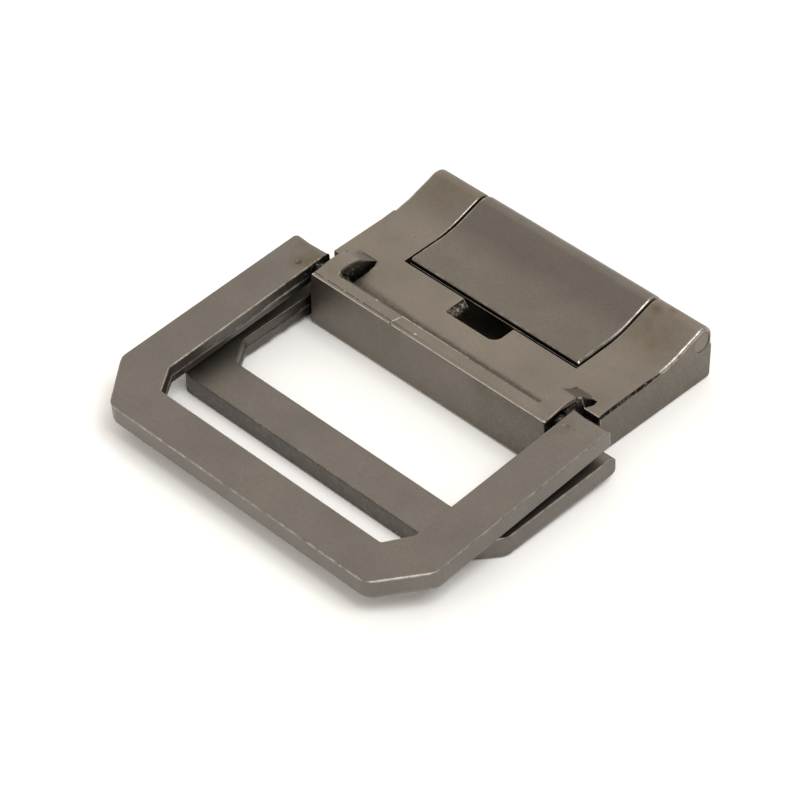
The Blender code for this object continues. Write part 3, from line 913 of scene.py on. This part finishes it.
def body_radius(edge):
    """Rounding of the body's edges: the outer ones that a hand or a polishing wheel reaches."""
    ends = [v.co for v in edge.verts]
    middle = (ends[0] + ends[1]) / 2
    if edge.calc_face_angle_signed(0.0) < math.radians(40):
        return 0.0
    if all(abs(abs(co.x) - CROSSBAR_HALF) < 0.01 for co in ends):
        return EAR_EDGE if middle.z > 4.0 and middle.y < 6.0 else 0.0
    if all(abs(co.x) > BODY_HALF - 0.01 for co in ends):
        near_pin = (Vector((0, middle.y, middle.z)) - Vector((0, *RIDGE))).length < BODY_HOLE + 0.05
        trimmed = middle.z > 4.5 and middle.y < SEAM_END and abs(ends[0].y - ends[1].y) > 0.1
        if middle.y < NOTCH_REAR + 0.01:
            return 0.16
        return 0.0 if near_pin or trimmed else 0.38
    window_left = all(abs(co.x + WINDOW_HALF) < 0.01 for co in ends)
    if window_left and min(co.y for co in ends) > RAMP_START + 0.5 and middle.z > 5.9:
        return 0.16
    return 0.0


def body_painted_shade(centre, normal):
    """Painted shade on the body: scoops, pits, notch walls, seam and the rim's foot, and also the
    slopes behind the ears, the hollow and the walls.
    """
    x, y, z = abs(centre.x), centre.y, centre.z
    level = plate_height(y)
    # Scoops
    if 15.1 < x < 16.5 and 2.5 < y < 8.4 and z < ear_height(y) - 0.12:
        if z < casting_height(x, y) - 0.05 or normal.z < 0.8:
            return 0.68
    # Pit
    if 18.1 < x < 19.7 and NOTCH_REAR < y < 8.5 and z < level - 0.05 and abs(normal.z) < 0.99:
        return 0.2
    # Walls of the ring arms' notches, and the ears' rounded edges above them
    if x > CROSSBAR_HALF - 0.01 and y < NOTCH_REAR + 0.01:
        return 0.85 if centre.x > 0 or y < NOTCH_REAR - 0.05 else 0.2
    if x > CROSSBAR_HALF - EAR_EDGE and 0.3 < y < 6.2 and abs(normal.x) > 0.3:
        return 0.6
    # Seam
    if x > BODY_HALF - SEAM_WIDTH and y < SEAM_END and 0.5 < normal.z < 0.9:
        return 0.98
    # Dark line of painted shade along the rim, behind its bright edge, strongest on the left
    if 0.42 < y < 0.6 and z > 7.5:
        return 0.15 + 0.5 * (1 - smooth(-7.0, 2.0, centre.x))
    # Slope behind each ear
    behind_ear = EAR_CREST[0] < y < EAR_REAR and EAR_INSIDE < x < 19.0
    if behind_ear and z > level + 0.05 and normal.z > 0.5:
        return 0.25
    # Foot of the rim, and the plate behind it
    if 2.0 < y < 3.4 and x < 15.6 and z < FRONT_HEIGHT:
        return 0.5
    if 3.4 < y < 5.6 and x < 15.6:
        left = smooth(4.0, 14.0, -centre.x)
        return 0.6 * (1 - smooth(3.8, 4.5 + 0.9 * left, y))
    # Strap hollow
    if 0.9 < z < HOLLOW_TOP + 0.1 and y > BAY_FRONT and x < HOLLOW_HALF + 0.1:
        return 0.15
    # Finger notch: its leaning left wall has no painted shade above and painted shade below
    in_notch = NOTCH_FRONT - 0.1 < y < WINDOW_FRONT
    if in_notch and -NOTCH_HALF - 0.1 < centre.x < -NOTCH_HALF + 0.6 and z < 5.9:
        return 0.0 if z > 4.95 else 0.5
    if in_notch and x < NOTCH_HALF + 0.1 and abs(normal.z) < 0.5:
        return 0.25
    # Other walls: the outer ones, and the front, which darkens to the right
    if abs(normal.z) > 0.3:
        return 0.0
    return 0.3 if x > CROSSBAR_HALF - 0.1 else 0.14 + 0.2 * smooth(2.0, 14.0, centre.x)


def body_wear_and_highlight(centre, normal):
    """Where the body's edges are worn and painted with a bright highlight: the front's top edge, and
    the ridge's sides.
    """
    x, y, z = abs(centre.x), centre.y, centre.z
    if y < 0.35:
        return 0.75 if z > 7.2 and normal.z > 0.25 else 0.0
    if y < 8.6 and x < CROSSBAR_HALF + 0.8:
        return 0.0
    if x > BODY_HALF - 0.5 and y < NOTCH_REAR + 0.5:
        return 0.5
    if x > BODY_HALF - 0.5 and y > SEAM_END - 0.6 and normal.z > 0.15:
        return 0.45
    if -NOTCH_HALF - 0.2 < centre.x < -NOTCH_HALF + 0.7 and y < WINDOW_FRONT:
        return 1.0
    if abs(centre.x + WINDOW_HALF) < 0.4 and RAMP_START + 3 < y < RIDGE[0] - 1.5:
        return 0.5
    return 0.0


class BUCKLE_OT_clamp_body(Operator):
    """Model the clamp body: crossbar with its ears, plate, rear ridge and hollow"""

    bl_idname = "buckle.clamp_body"
    bl_label = "Clamp Body"

    def execute(self, context):
        _, colours, _ = settings()
        bm = combine(casting(), body_cuts(), "DIFFERENCE")
        bm = round_edges(bm, body_radius)
        # The last two spots are wide and darken broad areas, on the right of the ramp and on the left
        # of the ridge
        spots = ((14.9, 25.6, 8.0, 1.3, 0.9), (16.6, 26.3, 8.0, 0.9, 0.8),
                 (15.6, 23.0, 7.4, 0.9, 0.5), (19.3, 10.8, 5.9, 1.6, 0.3),
                 (17.2, 22.3, 7.0, 5.2, 0.42), (-17.5, 25.0, 7.6, 5.0, 0.45))
        scratches = (((-5.8, 2.7, 7.62), (-5.45, 4.3, 7.5), 0.12, 1.0),
                     ((-5.5, 4.16, 7.6), (5.0, 4.2, 7.6), 0.11, 1.0),
                     ((-9.75, 4.15, 7.6), (-9.5, 4.2, 7.6), 0.13, 1.0),
                     ((-2.35, 2.9, 7.62), (-2.15, 2.93, 7.62), 0.12, 1.0),
                     ((16.3, 10.6, 5.9), (18.8, 10.62, 5.9), 0.12, 0.6),
                     ((18.9, 8.62, 5.88), (21.6, 8.62, 5.88), 0.14, 0.8))
        material = plated("satin gunmetal plating, body", colours.body, 0.42, spots, scratches)
        finish(bm, "clamp_body", "body", material,
               Matrix.Translation((0, FRONT_Y, 0)), body_painted_shade, body_wear_and_highlight)
        return {"FINISHED"}


# The lever and its pin

def lever_outline():
    """Side view of the lever: a thin concave flap, a round barrel behind, and a lip in front."""
    proud = 0.25
    radius = LEVER_HIGH.z - RIDGE[1]
    front = LEVER_LOW.y - FRONT_Y
    top = plate_height(front) + proud
    rise, ridge = ramp_points(proud, radius - RIDGE_RADIUS, radius)
    barrel = arc(RIDGE, radius, 0.0, -math.pi)[1:-1]
    under = [(y, z - LEVER_THICKNESS) for y, z in reversed(rise)]
    lip = [(front + 1.2, top - LEVER_THICKNESS), (front, top - LEVER_LIP),
           (front, top - LEVER_LIP + 0.1), (front + 0.05, top - LEVER_LIP + 0.12)]
    return [(front + 0.04, top)] + rise + ridge + barrel + under + lip


def lever_painted_shade(centre, normal):
    """Painted shade on the lever's front face, above a thin lip that is worn and painted with a
    highlight.
    """
    front = LEVER_LOW.y - FRONT_Y
    above_lip = centre.z > plate_height(front) - 0.3
    return 0.35 if above_lip and centre.y < front + 0.3 and normal.y < -0.8 else 0.0


def lever_wear_and_highlight(centre, normal):
    """Worn edges of the lever with painted highlights: the lip, the front corners, and both sides of
    the flap.
    """
    front = LEVER_LOW.y - FRONT_Y
    if centre.x > LEVER_HALF - 0.6 and centre.y < front + 0.5:
        return 1.0
    if abs(centre.x) > LEVER_HALF - 0.4:
        return 0.4 if normal.z > 0.2 else 0.2
    if centre.y < front + 0.4:
        return 0.45 if centre.z < plate_height(front) else 0.12
    return 0.0


def bite_outline(half):
    """Front view of the biting edge: a comb of pointed teeth, in X and Z."""
    pitch = 2 * half / BITE_TEETH
    root = RIDGE[1] - 1.65
    points = [(-half, root), (-half, BITE_HEIGHT + BITE_DEPTH)]
    for tooth in range(BITE_TEETH):
        left = -half + tooth * pitch
        points += [(left + pitch / 2, BITE_HEIGHT), (left + pitch, BITE_HEIGHT + BITE_DEPTH)]
    return points + [(half, root)]


class BUCKLE_OT_clamp_lever(Operator):
    """Model the lever: its flap, barrel and teeth"""

    bl_idname = "buckle.clamp_lever"
    bl_label = "Clamp Lever"

    def execute(self, context):
        _, colours, _ = settings()
        half = LEVER_HALF
        flap = prism([(-half, y, z) for y, z in lever_outline()], (2 * half, 0, 0))
        teeth = prism([(x, RIDGE[0] - 0.6, z) for x, z in bite_outline(half - 1.0)], (0, 1.2, 0))
        bm = combine(flap, [teeth], "UNION")
        bm = combine(bm, [rod(*RIDGE, LEVER_HOLE, -half - 1, half + 1)], "DIFFERENCE")

        def radius_of(edge):
            ends = [v.co for v in edge.verts]
            lowest = min(co.z for co in ends)
            if edge.calc_face_angle_signed(0.0) < math.radians(40) or lowest < 4.4:
                return 0.0
            middle = (ends[0] + ends[1]) / 2
            if (Vector((0, middle.y, middle.z)) - Vector((0, *RIDGE))).length < LEVER_HOLE + 0.1:
                return 0.0
            behind_front = ends[0].y - (LEVER_LOW.y - FRONT_Y)
            if abs(ends[0].z - ends[1].z) > 0.2 and behind_front < 0.2:
                return 0.8 if middle.x < 0 else 0.3
            if lowest < plate_height(ends[0].y) and behind_front < 1:
                return 0.04
            return 0.36 if abs(middle.x) > half - 0.01 else 0.28

        bm = round_edges(bm, radius_of)
        material = plated("smooth gunmetal plating, lever", colours.lever, 0.37)
        finish(bm, "clamp_lever", "lever", material,
               Matrix.Translation((0, FRONT_Y, 0)), lever_painted_shade, lever_wear_and_highlight)
        return {"FINISHED"}


class BUCKLE_OT_lever_pin(Operator):
    """Model the steel pin that the lever turns on"""

    bl_idname = "buckle.lever_pin"
    bl_label = "Lever Pin"

    def execute(self, context):
        _, colours, _ = settings()
        radius = (PIN_HIGH.z - PIN_LOW.z) / 2
        bm = rod(*RIDGE, radius, PIN_LOW.x, PIN_HIGH.x)
        rims = [e for e in bm.edges if abs(e.verts[0].co.x - e.verts[1].co.x) < 0.01]
        bmesh.ops.bevel(bm, geom=rims, offset=0.04, offset_type="OFFSET", segments=2, profile=0.5,
                        affect="EDGES", material=-1)
        material = plated("gunmetal plating on steel, pin", colours.steel, 0.38)
        # The pin gets a little painted shade all over
        finish(bm, "lever_pin", "body", material, Matrix.Translation((0, FRONT_Y, 0)),
               lambda centre, normal: 0.14)
        return {"FINISHED"}


# The stage

# Bright and dim panels of the tent: direction, angles at which it is full and gone, and its change
STUDIO_PANELS = (
    ((-0.53, 0.50, 0.69), 8, 36, 0.18),
    ((-0.45, -0.10, 0.89), 8, 34, -0.30),
    ((0.69, 0.55, 0.42), 12, 50, -0.60),
    ((-0.52, -0.66, 0.53), 8, 30, 0.20),
    ((0.45, -0.80, 0.20), 10, 60, -0.60),
)


def soft_light(name, place, size, power):
    """A square soft light that is turned to the buckle."""
    data = bpy.data.lights.new(name, "AREA")
    data.shape = "SQUARE"
    data.size = size
    data.energy = power
    obj = bpy.data.objects.new(name, data)
    bpy.context.scene.collection.objects.link(obj)
    obj.location = place
    obj.rotation_euler = (-Vector(place)).to_track_quat("-Z", "Y").to_euler()


def studio_world(scene):
    """White tent: brightest behind the buckle to the left, dim overhead and behind to the right."""
    world = bpy.data.worlds.new("white studio")
    world.use_nodes = True
    tree = world.node_tree
    where = add(tree, "ShaderNodeTexCoord", take="Generated")
    strength = 1.10
    for direction, narrow, wide, change in STUDIO_PANELS:
        reach = add(tree, "ShaderNodeVectorMath", {0: where, 1: Vector(direction).normalized()},
                    take="Value", operation="DOT_PRODUCT")
        share = add(tree, "ShaderNodeMapRange", {
            0: reach, 1: math.cos(math.radians(wide)), 2: math.cos(math.radians(narrow)),
            3: 0.0, 4: change}, interpolation_type="SMOOTHSTEP")
        strength = add(tree, "ShaderNodeMath", {0: strength, 1: share}, operation="ADD")
    tree.nodes["Background"].inputs["Color"].default_value = (*linear("FFF9F0"), 1)
    tree.links.new(strength, tree.nodes["Background"].inputs["Strength"])
    scene.world = world


class BUCKLE_OT_stage(Operator):
    """Set up the pale table, the soft light and the camera"""

    bl_idname = "buckle.stage"
    bl_label = "Stage"

    def execute(self, context):
        _, _, stage = settings()
        scene = context.scene
        azimuth, elevation = stage.azimuth, stage.elevation
        back = Vector((math.sin(azimuth) * math.cos(elevation),
                       -math.cos(azimuth) * math.cos(elevation), math.sin(elevation)))
        right = Vector((math.cos(azimuth), math.sin(azimuth), 0))
        up = back.cross(right)
        turned = right * math.cos(stage.roll) + up * math.sin(stage.roll)
        upright_axis = up * math.cos(stage.roll) - right * math.sin(stage.roll)
        place = Vector(stage.aim) + back * stage.distance
        data = bpy.data.cameras.new("camera")
        data.lens = stage.lens
        data.sensor_width = 36
        data.clip_start = 0.01
        camera = bpy.data.objects.new("camera", data)
        scene.collection.objects.link(camera)
        turn = Matrix((turned, upright_axis, back)).transposed().to_4x4()
        camera.matrix_world = Matrix.Translation(place) @ turn
        scene.camera = camera

        bm = bmesh.new()
        bmesh.ops.create_grid(bm, x_segments=1, y_segments=1, size=3.0)
        floor = as_object(bm, "table")
        material = bpy.data.materials.new("matt white board")
        material.use_nodes = True
        shader = material.node_tree.nodes["Principled BSDF"]
        shader.inputs["Base Color"].default_value = (*stage.floor, 1)
        shader.inputs["Roughness"].default_value = 0.9
        shader.inputs["Specular IOR Level"].default_value = 0.1
        floor.data.materials.append(material)

        studio_world(scene)
        scene.view_settings.view_transform = "Standard"
        soft_light("key softbox", (0.42, 0.02, 0.85), 0.5, 4.4)
        return {"FINISHED"}


class BUCKLE_PT_panel(Panel):
    """Sidebar panel that lists the buckle's pieces"""

    bl_idname = "BUCKLE_PT_panel"
    bl_label = "Belt Buckle"
    bl_space_type = "VIEW_3D"
    bl_region_type = "UI"
    bl_category = "Buckle"

    def draw(self, context):
        for operator in OPERATORS:
            self.layout.operator(operator.bl_idname)
        for group in (context.scene.buckle_sizes, context.scene.buckle_colours):
            for name in group.__annotations__:
                self.layout.prop(group, name)


OPERATORS = (BUCKLE_OT_stage, BUCKLE_OT_clamp_body, BUCKLE_OT_upper_ring, BUCKLE_OT_lower_ring,
             BUCKLE_OT_clamp_lever, BUCKLE_OT_lever_pin)
CLASSES = (BuckleSizes, BuckleColours, BuckleStage, *OPERATORS, BUCKLE_PT_panel)


def register():
    for item in CLASSES:
        bpy.utils.register_class(item)
    bpy.types.Scene.buckle_sizes = PointerProperty(type=BuckleSizes)
    bpy.types.Scene.buckle_colours = PointerProperty(type=BuckleColours)
    bpy.types.Scene.buckle_stage = PointerProperty(type=BuckleStage)


def unregister():
    del bpy.types.Scene.buckle_stage
    del bpy.types.Scene.buckle_colours
    del bpy.types.Scene.buckle_sizes
    for item in reversed(CLASSES):
        bpy.utils.unregister_class(item)


def main():
    register()
    bpy.ops.buckle.stage()
    bpy.ops.buckle.clamp_body()
    bpy.ops.buckle.upper_ring()
    bpy.ops.buckle.lower_ring()
    bpy.ops.buckle.clamp_lever()
    bpy.ops.buckle.lever_pin()


if __name__ == "__main__":
    main()
